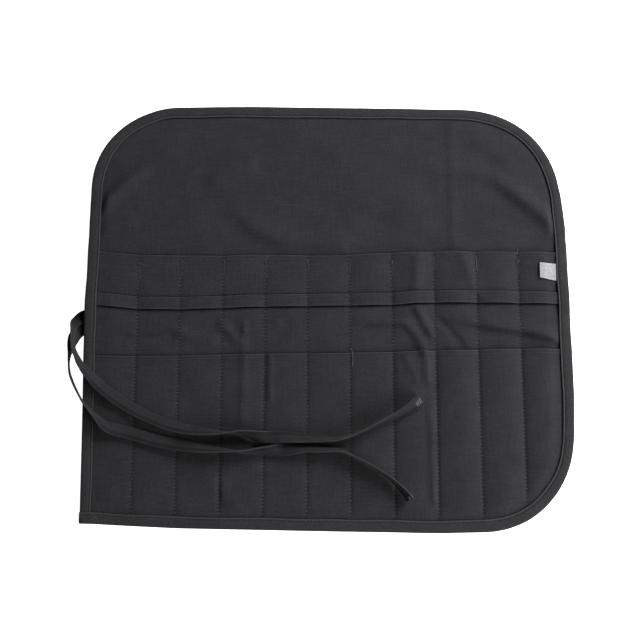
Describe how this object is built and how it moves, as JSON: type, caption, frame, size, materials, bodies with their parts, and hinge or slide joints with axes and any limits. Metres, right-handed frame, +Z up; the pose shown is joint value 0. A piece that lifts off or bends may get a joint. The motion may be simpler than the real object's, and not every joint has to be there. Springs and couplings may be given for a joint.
{
  "type": "brush roll",
  "caption": "Canvas roll for long brushes, laid open: bound cloth panel with a tall and a short row of sewn pockets, a loop band across them, and two tape ties at one edge",
  "frame": {"origin": "on the surface that the roll lies on, under the middle of the bound cloth", "axes": "+X along the rows of pockets, away from the ties; +Y from the pockets' closed ends to the flap; +Z up out of the cloth, on the pockets' side"},
  "size_m": [0.4665, 0.4052, 0.0218],
  "materials": {
    "canvas": "charcoal cotton canvas in a plain weave, matt",
    "binding_tape": "charcoal canvas tape folded over the edge and stitched, matt",
    "tie_tape": "charcoal canvas tape folded and edge-stitched, matt",
    "label_cloth": "light grey woven label, bare, matt"
  },
  "bodies": {
    "root": {"back_panel": "canvas", "tall_pocket": "canvas", "short_pocket": "canvas", "loop_band": "canvas", "edge_binding": "binding_tape", "tie_upper": "tie_tape", "tie_lower": "tie_tape", "label": "label_cloth"}
  },
  "joints": []
}
